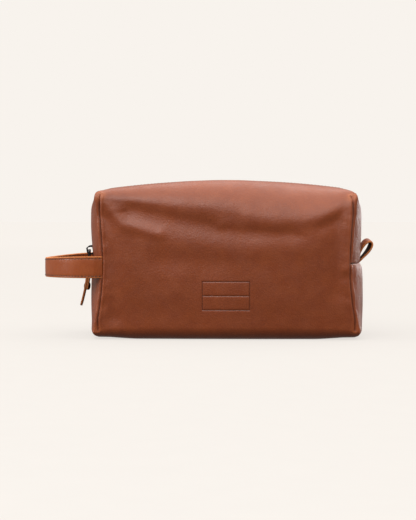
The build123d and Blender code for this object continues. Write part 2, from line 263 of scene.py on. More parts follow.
def distance_to(points, line, chunk=4000):
    """Distance from each point to the nearest of a line's points."""
    out = np.empty(len(points))
    for i in range(0, len(points), chunk):
        part = points[i:i + chunk, None, :] - line[None]
        out[i:i + chunk] = np.sqrt((part**2).sum(-1).min(1))
    return out


def waves(points, size, seed, stretch=(1, 1, 1)):
    """Smooth noise of about one unit, with features of this size."""
    scaled = points * (np.array(stretch) / size) + seed * 17.3
    return np.array([noise.noise(p, noise_basis="PERLIN_ORIGINAL") for p in scaled]) * 1.6


def bell(distance, width):
    return np.exp(-(distance / width) ** 2)


# ---- the body's patches
MARK_X = 22.0  # half length of the plain frame pressed into the front wall
MARK_Z = (28.0, 54.5)
MARK_LINE = 0.5
MARK_MIDDLE = sum(MARK_Z) / 2
MARK_AROUND = np.array([-1.6, -1.1, -0.7, -0.35, 0, 0.35, 0.7, 1.1, 1.6]) * MARK_LINE
FLAT_X = np.union1d(np.linspace(0, 1, 66), (MARK_X + MARK_AROUND) / INNER[0])
EDGE_X, EDGE_Y, EDGE_Z = edge_steps(34, 1.7), edge_steps(36, 1.7), edge_steps(26, 1.25)
SEAM_GAMMA = (SEAM_Z - FLAT_MIDDLE) / FLAT_REACH


def thinned(edge, coarse):
    """Every so many of an edge's values, with the last one kept."""
    return edge[::-1][::coarse][::-1]


def crowded(start, stop, at, count):
    """Values from start to stop that crowd together at both sides of one of them."""
    ease = np.linspace(0, 1, count) ** 2.2
    low = at - (at - start) * ease[::-1]
    high = at + (stop - at) * ease
    return np.concatenate([low, high[1:]])


def body_surface(side, inset, edge_y, coarse=1):
    """The body's front half (side -1) or back half (side 1), as points and faces that point outwards.
    edge_y is how near it comes to the zip."""
    flat_x = FLAT_X if coarse == 1 else np.linspace(0, 1, 33)
    alpha = both_ways(np.concatenate([flat_x, thinned(EDGE_X, coarse)]))
    upright = crowded(-1, 1, SEAM_GAMMA, 44 // coarse)
    if coarse == 1:
        lines = [z + MARK_AROUND for z in (*MARK_Z, MARK_MIDDLE)]
        upright = np.union1d(upright, (np.concatenate(lines) - FLAT_MIDDLE) / FLAT_REACH)
    gamma = np.concatenate([-EDGE_Z[::-1], upright, EDGE_Z])
    zip_beta = edge_y / INNER[1]
    flat_y = np.linspace(0, 1, 26 // coarse)
    top_y = np.concatenate([zip_beta + (1 - zip_beta) * flat_y, thinned(EDGE_Y, coarse)])
    low_y = np.concatenate([zip_beta * np.linspace(0, 1, 5)[:-1], top_y])
    low_gamma, high_gamma = gamma[gamma <= SEAM_GAMMA + 1e-9], gamma[gamma >= SEAM_GAMMA - 1e-9]
    points, faces = [], []

    def patch(a, b, g, flip):
        grid_a, grid_b, grid_g = np.broadcast_arrays(a, b, g)
        made = project(grid_a.astype(float), side * grid_b.astype(float), grid_g.astype(float), inset)
        faces.extend(grid_faces(*made.shape[:2], first=sum(map(len, points)), flip=flip))
        points.append(made.reshape(-1, 3))

    front = side < 0
    patch(alpha[:, None], np.array([[2.0]]), gamma[None, :], front)
    patch(alpha[:, None], top_y[None, :], np.array([[2.0]]), not front)
    patch(alpha[:, None], low_y[None, :], np.array([[-2.0]]), front)
    for end in (-1, 1):
        place = np.array([[2.0 * end]])
        patch(place, top_y[:, None], high_gamma[None, :], front != (end > 0))
        patch(place, low_y[:, None], low_gamma[None, :], front != (end > 0))
    return weld(np.concatenate(points), faces)


def seam_lines(side):
    """The seams of one half, as {name: (points, the way that the leather turns in)}."""
    def line(alpha, beta, gamma):
        return project(*(c.astype(float) for c in np.broadcast_arrays(alpha, beta, gamma)), 0)

    lines = {}
    for end in (-1, 1):
        inward = np.array([-end, 0, 0])
        lines[f"corner{end}"] = (line(2 * end, 2 * side, np.linspace(-2, 2, 400)),
                                 np.array([-end, -side, 0]) / math.sqrt(2))
        lines[f"level{end}"] = (line(2 * end, side * np.linspace(0, 2, 120), SEAM_GAMMA), inward)
        lines[f"middle{end}"] = (line(2 * end, 0, np.linspace(-2, SEAM_GAMMA, 200)), inward)
    lines["base"] = (line(np.linspace(-2, 2, 500), 0, -2), np.array([0, 0, 1]))
    return lines


def rolled_in(distance, radius):
    """How far leather has turned in at this distance from its seam."""
    near = np.clip(distance, 0, radius)
    return radius - np.sqrt(radius**2 - (radius - near) ** 2)


# Soft ridges (above 0) and hollows of each wall: height, a course of (x, z) points, widths above and below.
RIDGES = {
    -1: [
        (1.3, [(-119, 137), (-110, 122), (-96, 108), (-62, 99)], 5.5, 5.5),
        (-1.2, [(-111, 112), (-108, 96), (-105, 60), (-104, 22)], 8, 8),
        (-1.7, [(-88, 121), (-71, 117), (-43, 112), (-14, 106)], 7, 11),
        (-0.9, [(2, 103), (20, 101), (41, 99), (62, 99)], 5, 9),
        (0.9, [(22, 113), (48, 110), (74, 111), (94, 116)], 9, 7),
        (0.6, [(-70, 94), (0, 86), (80, 88)], 10, 12),
        (-0.8, [(90, 105), (104, 115), (119, 135)], 5, 5),
        (-1.5, [(103, 108), (104, 80), (104, 44)], 8, 8),
        (0.9, [(114, 112), (112, 66)], 5, 5),
        (-0.6, [(-60, 73), (60, 71)], 12, 12),
    ],
    1: [
        (1.5, [(119, 137), (108, 121), (88, 106)], 5, 5),
        (1.2, [(-119, 137), (-108, 122), (-92, 110)], 5, 5),
        (-2.2, [(-84, 112), (-30, 106), (30, 106), (86, 116)], 7, 11),
        (0.8, [(-60, 60), (70, 52)], 17, 17),
    ],
}


def ridge(points, course, above, below):
    """A soft ridge on a wall along a course of (x, z) points, with its own width on either side."""
    corners = np.array(course, float)
    at = np.linspace(0, len(corners) - 1, 60)
    line = np.stack([np.interp(at, np.arange(len(corners)), corners[:, k]) for k in range(2)], -1)
    order = np.argsort(line[:, 0])
    higher = smooth_step((points[:, 2] - np.interp(points[:, 0], line[order, 0], line[order, 1])) / 4 + 0.5)
    return bell(distance_to(points[:, [0, 2]], line), below + (above - below) * higher)


BODY_SEED = {-1: 3, 1: 8}
LINING_SEED = {-1: 31, 1: 36}


def hollows(points, side):
    """How far a used bag's walls swell or sink at each point, in millimetres."""
    seed = BODY_SEED[side]
    x, y, z = points.T
    calm = smooth_step((z - 3) / 14) * smooth_step((np.abs(y) - WINDOW_Y) / 26)
    push = calm * 0.55 * waves(points, 58, seed)
    push += calm * 0.22 * waves(points, 24, seed + 1, (1, 1, 1.3))
    wall = smooth_step((np.abs(y) - 50) / 8)
    for height, course, above, below in RIDGES[side]:
        push += wall * height * ridge(points, course, above, below)
    return push


PUCKERS = ((7.5, 0.28), (15, 0.3))  # size and height of the small folds along the seams
ROLL_RADIUS = 1.9  # of the leather's turn into its level, middle and base seams
CORNER_ROLL = (2.3, 0.9)  # the same at the corner seams' mid height, and how much less at their tips
TIP_RUBBED = (0.6, 1.3)  # wear of the corners' lower and upper tips
MARK_DEPTH = 0.34
MARK_SHADE = 0.8  # darkness of the pressed lines, as a share of a seam's
# how dark the painted shade in the seams' grooves is
GROOVE_SHADE = 1.1


def body_leather(side):
    """One half of the leather, with its seams turned in and the soft hollows of a used bag.
    Its attribute is above 0 where the leather is rubbed pale and where a highlight is painted beside each
    seam, and below 0 where shade is painted into the seams' grooves and along the pressed mark's darker
    lines."""
    points, faces = body_surface(side, 0.0, WINDOW_Y)
    normals = point_normals(points, faces)
    seed = BODY_SEED[side]
    push = hollows(points, side)
    turned = np.zeros_like(points)
    wear_and_painted_light, painted_seam_shade_and_mark = np.zeros(len(points)), np.zeros(len(points))
    seams = seam_lines(side)
    puckers = sum(waves(points, size, seed + 2 + k) * high for k, (size, high) in enumerate(PUCKERS))
    for name, (line, inward) in seams.items():
        away = distance_to(points, line)
        if name.startswith("corner"):
            share = 1.0
            to_tip = np.clip(np.abs(points[:, 2] - SEAM_Z) / CORNER_RISE, 0, 1)
            radius = CORNER_ROLL[0] - CORNER_ROLL[1] * to_tip**2
            push += 0.4 * bell(away - 2.9, 1.1)
        else:
            share = smooth_step((CORNER_Y + 0.3 - np.abs(points[:, 1])) / 1.6)
            radius = ROLL_RADIUS
        turned += (share * (rolled_in(away, radius) + 0.4 * radius * bell(away, 7.0)))[:, None] * inward
        push += share * puckers * bell(away, 9.0) * (1 - bell(away, 1.2))
        # a pale line beside each seam: the rolled edge of pull-up leather paling, with a painted highlight
        # of that edge
        wear_and_painted_light = np.maximum(wear_and_painted_light, 0.2 * share * bell(away - 2.5, 1.0))
        # painted shade along each seam's groove
        painted_seam_shade_and_mark = np.maximum(painted_seam_shade_and_mark, share * bell(away, 0.8))
    for end in (-1, 1):
        corner = seams[f"corner{end}"][0]
        for tip, rubbed in zip((corner[0], corner[-1]), TIP_RUBBED):
            wear_and_painted_light = np.maximum(wear_and_painted_light, rubbed * bell(np.linalg.norm(points - tip, axis=1) - 2, 3.2))
    if side < 0:
        reach = (MARK_Z[1] - MARK_Z[0]) / 2
        across, upright = np.abs(points[:, 0]) - MARK_X, np.abs(points[:, 2] - MARK_MIDDLE)
        frame_line = np.abs(np.maximum(across, upright - reach))
        line = np.where((across < 0) & (upright < reach), np.minimum(frame_line, upright), frame_line)
        pressed = bell(line, MARK_LINE) * (points[:, 1] < -50)
        push -= MARK_DEPTH * pressed
        painted_seam_shade_and_mark = np.maximum(painted_seam_shade_and_mark, MARK_SHADE * pressed)
    from_edge = np.abs(points[:, 1]) - WINDOW_Y
    on_zip = points[:, 2] > SEAM_Z + 1
    push -= on_zip * (0.45 * bell(from_edge, 0.8) + 0.3 * bell(from_edge - 2.5, 0.9))
    wear_and_painted_light = np.maximum(wear_and_painted_light, on_zip * 0.7 * bell(from_edge, 1.5))
    # below 0: painted shade in the seams' grooves, and the pressed mark's darker lines
    wear_and_painted_light -= GROOVE_SHADE * painted_seam_shade_and_mark
    shape = points + normals * push[:, None] + turned
    shape[:, 2] = np.maximum(shape[:, 2], 0.0)

    made = mesh_object(f"{HALF[side]}_leather", shape, faces)
    attribute = made.data.attributes.new("wear_and_painted_light", "FLOAT", "POINT")
    attribute.data.foreach_set("value", wear_and_painted_light.astype(np.float32))
    thicken(made, LEATHER)
    return made, points


def thicken(made, thickness):
    """Give a face its thickness, inwards, with a second material inside and a third on the cut edges."""
    solid = made.modifiers.new("thickness", "SOLIDIFY")
    solid.thickness = thickness * MM
    solid.offset = -1
    solid.use_rim = True
    solid.material_offset = 1
    solid.material_offset_rim = 2


LINING_INSET = 3.2
LINING_EDGE_Y = 9.0
LINING_PLY = 0.5
LINING_CLEAR = 1.8  # how much further in it keeps at the seams
LINING_FALL = 4.0  # how far it keeps from the top and base at the corners' tips


def body_lining(side):
    """One half of the lining: it hangs inside the leather and comes up under the zip tape."""
    points, faces = body_surface(side, LINING_INSET, LINING_EDGE_Y, coarse=2)
    normals = point_normals(points, faces)
    push = hollows(points, side) - 0.2 * (1 + waves(points, 14, LINING_SEED[side], (1, 1, 0.5)))
    from_edge = np.abs(points[:, 1]) - LINING_EDGE_Y
    push += (points[:, 2] > SEAM_Z) * 0.75 * bell(from_edge, 7)
    shape = points + normals * push[:, None]
    seams = seam_lines(side)
    for line, inward in seams.values():
        shape += (LINING_CLEAR * bell(distance_to(points, line), 8.0))[:, None] * inward
    for end in (-1, 1):
        corner = seams[f"corner{end}"][0]
        for tip, fall in ((corner[0], 1), (corner[-1], -1)):
            near_tip = bell(np.linalg.norm(points - tip, axis=1), 14.0)
            away = (-LINING_CLEAR * end, -LINING_CLEAR * side, LINING_FALL * fall)
            shape += near_tip[:, None] * np.array(away)
    made = mesh_object(f"{HALF[side]}_lining_cloth", shape, faces)
    thicken(made, LINING_PLY)
    return made, points


# ---- the zip's course
gamma_up = np.linspace(SEAM_GAMMA, 2, 220)
alpha_over = np.linspace(-2, 2, 900)
RUN_ALPHA = np.concatenate([np.full(220, -2.0), alpha_over[1:], np.full(219, 2.0)])
RUN_GAMMA = np.concatenate([gamma_up, np.full(899, 2.0), gamma_up[-2::-1]])
zip_middle = project(RUN_ALPHA, np.zeros(len(RUN_ALPHA)), RUN_GAMMA, 0)
RUN = lengths_along(zip_middle)


def along_zip(run, y, inset):
    """Points at these lengths along the zip, this far off its middle and this deep."""
    alpha, gamma = np.interp(run, RUN, RUN_ALPHA), np.interp(run, RUN, RUN_GAMMA)
    alpha, gamma, beta = np.broadcast_arrays(alpha, gamma, np.asarray(y) / INNER[1])
    return project(alpha.astype(float), beta.astype(float), gamma.astype(float), inset)


def zip_out(run):
    """The way out of the bag at these lengths along the zip."""
    tangent = along_zip(run + 0.6, 0.0, 0) - along_zip(run - 0.6, 0.0, 0)
    return unit(np.cross(tangent, WIDE))


TAPE_INSET = 1.75
TAPE_PLY = 0.5
TAPE_Y = np.array([1.3, 1.5, 1.9, 2.4, 2.9, 3.3, 3.7, 4.4, 5.5, 7.5, 9.5, 12.0, 15.0])
CORD = (2.35, 1.1, 0.55)  # the tape's corded edge: off the middle, half width, height
TOOTH_PITCH = 2.5
TOOTH_INSET = 1.9
OPEN_SHIFT = 1.5  # how far the teeth stand apart beyond the slider
slider_low, slider_high = mm_box("slider_body")
SLIDER_RUN = np.interp((slider_low[2] + slider_high[2]) / 2, zip_middle[:200, 2], RUN[:200])
TOOTH_SIDES = 12
TOOTH_SQUARE = 0.6  # 1 for a round section, 0 for a square one
# One tooth from its head to its legs: distance from the middle, half length along the zip, half thickness.
TOOTH = np.array([
    (-0.78, 0.26, 0.50), (-0.62, 0.44, 0.82), (-0.15, 0.56, 1.00), (0.45, 0.50, 0.96), (0.85, 0.46, 0.92),
    (1.25, 0.66, 1.18), (1.60, 0.72, 1.24), (3.00, 0.72, 1.20), (3.50, 0.62, 1.00), (3.68, 0.36, 0.70)])


def zip_tape(side):
    """A zip tape with the corded edge that its teeth are clamped on."""
    run = np.linspace(0.5, RUN[-1] - 0.5, 420)
    spread = OPEN_SHIFT * (1 - smooth_step((run - SLIDER_RUN + 2) / 4)) * 0.5
    grid = along_zip(run[:, None], side * TAPE_Y[None, :], TAPE_INSET)
    grid[:, :3, 1] += side * spread[:, None]
    cord = np.sqrt(np.clip(1 - ((TAPE_Y - CORD[0]) / CORD[1]) ** 2, 0, 1)) * CORD[2]
    grid += zip_out(run)[:, None, :] * (cord - 0.15 * (TAPE_Y > 4))[None, :, None]
    points = grid.reshape(-1, 3)
    made = mesh_object(f"{HALF[side]}_tape", points, grid_faces(*grid.shape[:2], flip=side > 0))
    thicken(made, TAPE_PLY)
    return made, points


def zip_chain(side):
    """A row of metal teeth, and each point's own tooth's middle."""
    begin = 2.0 + (0.5 * TOOTH_PITCH if side > 0 else 0.0)
    runs = np.arange(begin, RUN[-1] - 1.5, TOOTH_PITCH)
    base = along_zip(runs, 0.0, TOOTH_INSET)
    out = zip_out(runs)
    angle = (np.arange(TOOTH_SIDES) + 0.5) * 2 * math.pi / TOOTH_SIDES
    ring_t, ring_o = (np.sign(v) * np.abs(v) ** TOOTH_SQUARE for v in (np.cos(angle), np.sin(angle)))
    points, faces, middles = [], [], []
    for run, centre, up in zip(runs, base, out):
        along = np.cross(WIDE, up)
        shift = OPEN_SHIFT if run < SLIDER_RUN else 0.0
        first = sum(map(len, points))
        for v, length, thick in TOOTH:
            ring = centre + along * (ring_t * length)[:, None] + up * (ring_o * thick)[:, None]
            ring[:, 1] += side * (v + shift)
            points.append(ring)
        faces += tube_faces(len(TOOTH), TOOTH_SIDES, first)
        middles.append(np.repeat([centre + (0, side * 2.0, 0)], TOOTH_SIDES * len(TOOTH), axis=0))
    made = mesh_object(f"{HALF[side]}_teeth", np.concatenate(points), faces, closed=True)
    return made, np.concatenate(middles)


# ---- strips of leather and stitching
# A strip's section from its middle to its edge: share of the half width, and the dip for the stitches.
STRIP_HALF = [(0, -0.12), (0.35, -0.10), (0.7, -0.06), (0.81, 0.05), (0.87, 0.22), (0.93, 0.05), (1, 0)]
STRIP_FACE = np.array([(-u, dip) for u, dip in STRIP_HALF[:0:-1]] + STRIP_HALF)
STRIP_ARC = np.radians([66, 40, 14, -14, -40, -66])  # round a strip's cut edge
STRIP_KINDS = [0] * 12 + [2] * 7 + [1] * 12 + [2] * 7  # the material of each face round the section


def strip(name, line, across, width, thickness):
    """A band of leather along a line, with its materials on its outer face, inner face and edges. across is
    the way of its width, and width may change along it."""
    line = np.asarray(line, float)
    out = unit(np.cross(across, np.gradient(line, axis=0)))
    half = np.broadcast_to(np.asarray(width, float) / 2, len(line))
    t = thickness / 2
    face, dip = STRIP_FACE.T
    edge_out, edge_up = np.cos(STRIP_ARC) * t, np.sin(STRIP_ARC) * t
    share = np.concatenate([face, np.ones(6), face[::-1], -np.ones(6)])
    beyond = np.concatenate([np.zeros(13), edge_out, np.zeros(13), -edge_out])
    rise = np.concatenate([t - dip, edge_up, -t + dip, -edge_up])
    count = len(share)
    u = share[None] * (half[:, None] - t) + beyond[None]
    grid = line[:, None] + u[..., None] * np.asarray(across) + rise[None, :, None] * out[:, None]
    made = mesh_object(name, grid.reshape(-1, 3), tube_faces(len(line), count), closed=True)
    made.data.polygons.foreach_set("material_index", STRIP_KINDS * (len(line) - 1) + [2, 2])
    return made


def resample(line, values, at):
    """A line's values at these lengths along it."""
    length = lengths_along(line)
    return np.stack([np.interp(at, length, values[:, k]) for k in range(3)], -1)


def stitch_parts(line, out, pitch, length, radius):
    """Stitches along a line: arched threads whose ends go down into the leather."""
    starts = np.arange(pitch * 0.5, lengths_along(line)[-1] - pitch, pitch)
    rings, sides = 6, 8
    share = np.linspace(0, 1, rings)
    at = starts[:, None] + share[None] * length
    middle = resample(line, line, at.ravel()).reshape(*at.shape, 3)
    up = resample(line, np.asarray(out), at.ravel()).reshape(*at.shape, 3)
    beside = np.cross(up, unit(middle[:, -1:] - middle[:, :1]))
    lift = (np.sin(math.pi * share) ** 0.7 * 1.5 - 0.9) * radius
    middle = middle + up * lift[None, :, None]
    fat = radius * (0.55 + 0.45 * np.sin(math.pi * share))
    angle = np.arange(sides) * 2 * math.pi / sides
    ring = np.cos(angle)[:, None] * beside[:, :, None] + np.sin(angle)[:, None] * up[:, :, None]
    points = middle[:, :, None] + ring * fat[None, :, None, None]
    faces = [f for n in range(len(starts)) for f in tube_faces(rings, sides, n * rings * sides)]
    return points.reshape(-1, 3), faces


def joined(name, parts):
    """One mesh object from several sets of points and faces."""
    points, faces = [], []
    for some, more in parts:
        first = sum(map(len, points))
        faces += [[i + first for i in face] for face in more]
        points.append(some)
    return mesh_object(name, np.concatenate(points), faces, closed=True)


def lift_with_mouth(made):
    """Bake a piece's transform into its mesh."""
    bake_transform(made)


# ---- materials
# The Mix node's colour sockets, by number because their names are shared.
MIX_SHARE, MIX_A, MIX_B, MIX_RESULT = 0, 6, 7, 2


class Nodes:
    """A material's nodes, with short calls for what the materials share."""

    def __init__(self, name):
        self.material = bpy.data.materials.new(name)
        self.material.use_nodes = True
        self.tree = self.material.node_tree
        self.shader = self.tree.nodes["Principled BSDF"]
        self.place = self.add("ShaderNodeTexCoord").outputs["Object"]

    def add(self, kind, links=None, **values):
        node = self.tree.nodes.new(kind)
        for key, value in values.items():
            setattr(node, key, value)
        for key, source in (links or {}).items():
            self.set(node, key, source)
        return node

    def set(self, node, key, source):
        if isinstance(source, bpy.types.NodeSocket):
            self.tree.links.new(source, node.inputs[key])
        else:
            node.inputs[key].default_value = source

    def noise(self, scale, detail, rough):
        links = {"Vector": self.place, "Scale": scale, "Detail": detail, "Roughness": rough}
        return self.add("ShaderNodeTexNoise", links).outputs["Fac"]

    def cells(self, scale, smooth):
        links = {"Vector": self.place, "Scale": scale, "Smoothness": smooth}
        return self.add("ShaderNodeTexVoronoi", links, feature="SMOOTH_F1").outputs["Distance"]

    def spread(self, value, low, high, to_low=0.0, to_high=1.0):
        links = {"Value": value, "From Min": low, "From Max": high, "To Min": to_low, "To Max": to_high}
        return self.add("ShaderNodeMapRange", links).outputs["Result"]

    def math(self, operation, a, b):
        return self.add("ShaderNodeMath", {0: a, 1: b}, operation=operation).outputs["Value"]

    def mix(self, share, a, b, blend="MIX"):
        """Two colours mixed; a tuple gets its alpha here."""
        a, b = ((*c, 1) if isinstance(c, tuple) else c for c in (a, b))
        links = {MIX_SHARE: share, MIX_A: a, MIX_B: b}
        return self.add("ShaderNodeMix", links, data_type="RGBA", blend_type=blend).outputs[MIX_RESULT]

    def bump(self, height, distance, strength, under=None):
        links = {"Height": height, "Distance": distance, "Strength": strength}
        if under:
            links["Normal"] = under
        return self.add("ShaderNodeBump", links).outputs["Normal"]

    def finish(self, **inputs):
        for key, source in inputs.items():
            self.set(self.shader, key.replace("_", " "), source)
        return self.material


def leather_material(name, middle, dark, light, roughness=0.40, grain=0.9):
    """Smooth pull-up leather: cloudy tone, fine grain, paler where worn and where a highlight is painted
    beside the seams, and darker with painted shade in the seams' grooves and in the pressed mark's lines.
    """
    n = Nodes(name)
    clouds = n.spread(n.noise(19, 4, 0.62), 0.36, 0.66)
    patches = n.spread(n.noise(95, 3, 0.6), 0.35, 0.7)
    colour = n.mix(n.math("MULTIPLY", clouds, 0.45), middle, dark)
    colour = n.mix(n.math("MULTIPLY", patches, 0.12), colour, light)
    wear_and_painted_light_value = n.add("ShaderNodeAttribute", attribute_name="wear_and_painted_light").outputs["Fac"]
    # painted shade in the seams' grooves, and the pressed mark's darker lines, from the attribute's values
    # below 0
    painted_seam_shade_and_mark = n.math("MULTIPLY", wear_and_painted_light_value, -0.75)
    colour = n.mix(painted_seam_shade_and_mark, colour, tuple(c * 0.45 for c in dark))
    broken = n.spread(n.noise(420, 4, 0.7), 0.3, 0.7, 0.35, 1.0)
    # paler where the leather is rubbed, and where a highlight is painted beside the seams
    colour = n.mix(n.math("MULTIPLY", n.math("MULTIPLY", wear_and_painted_light_value, broken), 0.55), colour, light)
    speck = n.spread(n.noise(1500, 2, 0.6), 0.3, 0.75, 0.86, 1.1)
    tint = n.add("ShaderNodeCombineColor", {"Red": speck, "Green": speck, "Blue": speck}).outputs["Color"]
    colour = n.mix(1.0, colour, tint, "MULTIPLY")
    pebbles = n.cells(760, 0.5)
    creases = n.noise(310, 5, 0.62)
    pores = n.spread(n.noise(2600, 1, 0.5), 0.28, 0.42)
    normal = n.bump(pebbles, 0.00022 * grain, 0.45)
    normal = n.bump(creases, 0.00045 * grain, 0.5, normal)
    normal = n.bump(pores, 0.00008, 0.4, normal)
    shine = n.spread(n.noise(60, 4, 0.6), 0.3, 0.7, roughness - 0.05, roughness + 0.07)
    return n.finish(Base_Color=colour, Roughness=shine, Normal=normal, Specular_IOR_Level=0.42)


def edge_material(name, colour, dark):
    """The cut edge of leather: fibrous, matt and layered."""
    n = Nodes(name)
    fibres = n.noise(1900, 4, 0.7)
    mottled = n.spread(n.noise(240, 3, 0.6), 0.3, 0.7)
    tone = n.mix(n.math("MULTIPLY", mottled, 0.6), colour, dark)
    return n.finish(Base_Color=tone, Roughness=0.72, Normal=n.bump(fibres, 0.0003, 0.7),
                    Specular_IOR_Level=0.25)


def cloth_material(name, colour, dark, pitch):
    """Plain weave: crossed threads at this spacing, in metres, with slubs."""
    n = Nodes(name)
    parts = n.add("ShaderNodeSeparateXYZ", {"Vector": n.place})
    turns = 2 * math.pi / pitch
    sums = []
    for a, b in (("X", "Y"), ("Z", "Y")):
        total = n.math("ADD", parts.outputs[a], n.math("MULTIPLY", parts.outputs[b], 0.5))
        sums.append(n.math("SINE", n.math("MULTIPLY", total, turns), 0.0))
    weave = n.math("MULTIPLY", sums[0], sums[1])
    slubs = n.noise(420, 3, 0.6)
    tone = n.mix(n.spread(weave, -1, 1, 0.0, 0.6), colour, dark)
    tone = n.mix(n.spread(slubs, 0.35, 0.7, 0.0, 0.35), tone, dark)
    return n.finish(Base_Color=tone, Roughness=0.85, Normal=n.bump(weave, 0.00025, 0.6),
                    Specular_IOR_Level=0.2, Sheen_Weight=0.15, Sheen_Roughness=0.5)


def metal_material(name, colour, roughness):
    """Plated zinc: a thin dark plating with rubbed patches and faint scratches."""
    n = Nodes(name)
    rubbed = n.spread(n.noise(700, 4, 0.65), 0.5, 0.75, 0.0, 0.5)
    pale = tuple(min(1.0, c * 2.4 + 0.05) for c in colour)
    shine = n.spread(n.noise(1400, 3, 0.6), 0.3, 0.7, roughness - 0.06, roughness + 0.12)
    return n.finish(Base_Color=n.mix(rubbed, colour, pale), Metallic=1.0, Roughness=shine,
                    Normal=n.bump(n.noise(2200, 2, 0.5), 0.00006, 0.5))


def thread_material(name, colour):
    """Waxed thread with fine strands."""
    n = Nodes(name)
    strands = n.noise(5200, 2, 0.6)
    tone = n.mix(n.spread(strands, 0.3, 0.7), colour, tuple(c * 0.5 for c in colour))
    return n.finish(Base_Color=tone, Roughness=0.7, Normal=n.bump(strands, 0.0001, 0.6))


# Colours are linear: middle, dark and light for leather, or plain and dark.
BODY = leather_material("body_leather", (0.205, 0.041, 0.0095), (0.150, 0.028, 0.006), (0.40, 0.110, 0.029))
STRAP = leather_material("strap_leather", (0.265, 0.054, 0.009), (0.195, 0.036, 0.006), (0.48, 0.155, 0.042),
                         roughness=0.38, grain=0.6)
FLESH = edge_material("flesh_side", (0.055, 0.022, 0.010), (0.02, 0.010, 0.006))
RAW_EDGE = edge_material("raw_edge", (0.47, 0.17, 0.055), (0.24, 0.07, 0.02))
# paler than the raw edge: the cut edges' own bright tone, with painted light standing in for the floor's
# bounce on the strap's lower edge
STRAP_EDGE_AND_PAINTED_BOUNCE = edge_material("strap_edge_painted_bounce", (0.55, 0.20, 0.062), (0.30, 0.09, 0.026))
INSIDE = edge_material("leather_inside", (0.13, 0.06, 0.03), (0.07, 0.03, 0.015))
LINING = cloth_material("lining_cloth", (0.21, 0.16, 0.11), (0.11, 0.08, 0.055), 0.0011)
TAPE = cloth_material("zip_tape_cloth", (0.060, 0.034, 0.022), (0.025, 0.014, 0.010), 0.0008)
TEETH = metal_material("zip_metal", (0.20, 0.18, 0.15), 0.33)
DARK_METAL = metal_material("dark_metal", (0.035, 0.034, 0.036), 0.34)
THREAD = thread_material("thread", (0.095, 0.045, 0.022))


def dress(made, *materials):
    for material in materials:
        made.data.materials.append(material)
    return made


# ---- the leather body and what lines it
# Each kind of stitching: pitch, length of a stitch and radius of the thread.
ZIP_STITCH, POCKET_STITCH, STRAP_STITCH = (3.3, 2.5, 0.27), (3.0, 2.2, 0.2), (3.4, 2.5, 0.3)
ZIP_STITCH_INSET = 0.25
for side, half, opposite in ((-1, "front", "left"), (1, "back", "right")):
    leather, rest = body_leather(side)
    dress(leather, BODY, INSIDE, RAW_EDGE)
    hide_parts(f"{half}_panel", f"{half}_top_panel")
    lift_with_mouth(leather)

    cloth, rest = body_lining(side)
    dress(cloth, LINING, LINING, LINING)
    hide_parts(f"{half}_lining", f"{half}_top_lining")
    lift_with_mouth(cloth)

    tape, rest = zip_tape(side)
    dress(tape, TAPE, TAPE, TAPE)
    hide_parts(f"{half}_zip_tape", f"{opposite}_end_tapes")
    lift_with_mouth(tape)

    chain, middles = zip_chain(side)
    dress(chain, TEETH)
    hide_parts(f"{half}_zip_teeth", f"{opposite}_end_teeth")
    lift_with_mouth(chain)

    run = np.linspace(2.0, RUN[-1] - 2.0, 900)
    row = along_zip(run, side * (WINDOW_Y + 2.5), ZIP_STITCH_INSET)
    sewn = joined(f"{half}_zip_stitching", [stitch_parts(row, zip_out(run), *ZIP_STITCH)])
    dress(sewn, THREAD)
    lift_with_mouth(sewn)


# ---- slip pocket on the back lining
pocket_low, pocket_high = mm_box("slip_pocket")
HEM = 9.0  # height of the pocket's folded hem
grid_x, grid_z = np.meshgrid(np.linspace(pocket_low[0], pocket_high[0], 90),
                             np.linspace(pocket_low[2], pocket_high[2], 46), indexing="ij")
wall_gamma = (grid_z - FLAT_MIDDLE) / FLAT_REACH
wall_grid = project(grid_x / INNER[0], np.full_like(grid_x, 2.0), wall_gamma, LINING_INSET)
wall = wall_grid.reshape(-1, 3)
wall[:, 1] += hollows(wall, 1)
top_share = smooth_step((wall[:, 2] - 60) / 36)
middle_share = smooth_step(1.15 - np.abs(wall[:, 0]) / pocket_high[0])
wall[:, 1] -= 0.95 + 1.6 * top_share * middle_share + 0.25 * (1 + waves(wall, 16, 5, (1.6, 1, 0.5)))
wall[:, 1] -= 0.25 * (wall[:, 2] > pocket_high[2] - HEM)
pocket = mesh_object("pocket_cloth", wall, grid_faces(*grid_x.shape))
dress(pocket, LINING, LINING, LINING)
thicken(pocket, 0.45)
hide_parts("slip_pocket")
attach(pocket, "bag_base")
sewn_lines = [wall_grid[:, 37], wall_grid[1], wall_grid[-2], wall_grid[:, 1]]  # hem, both sides, foot
pocket_rows = [stitch_parts(line, np.broadcast_to(-WIDE, line.shape), *POCKET_STITCH) for line in sewn_lines]
pocket_sewn = dress(joined("pocket_stitching", pocket_rows), THREAD)
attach(pocket_sewn, "bag_base")


# ---- metal pieces kept from the frame
def finish_metal(node, material, edge):
    """Give a CAD piece its metal, and soften its edges over this width."""
    piece = frame["nodes"][node]
    if not piece.material_slots:
        piece.data.materials.append(material)
    for holder in piece.material_slots:
        holder.link = "OBJECT"
        holder.material = material
    soft = piece.modifiers.new("soft_edges", "BEVEL")
    soft.width = edge * MM
    soft.segments = 3
    soft.limit_method = "ANGLE"
    soft.angle_limit = math.radians(32)


finish_metal("slider_body", DARK_METAL, 0.45)
finish_metal("pull_ring", DARK_METAL, 0.2)
finish_metal("zip_stops", TEETH, 0.3)


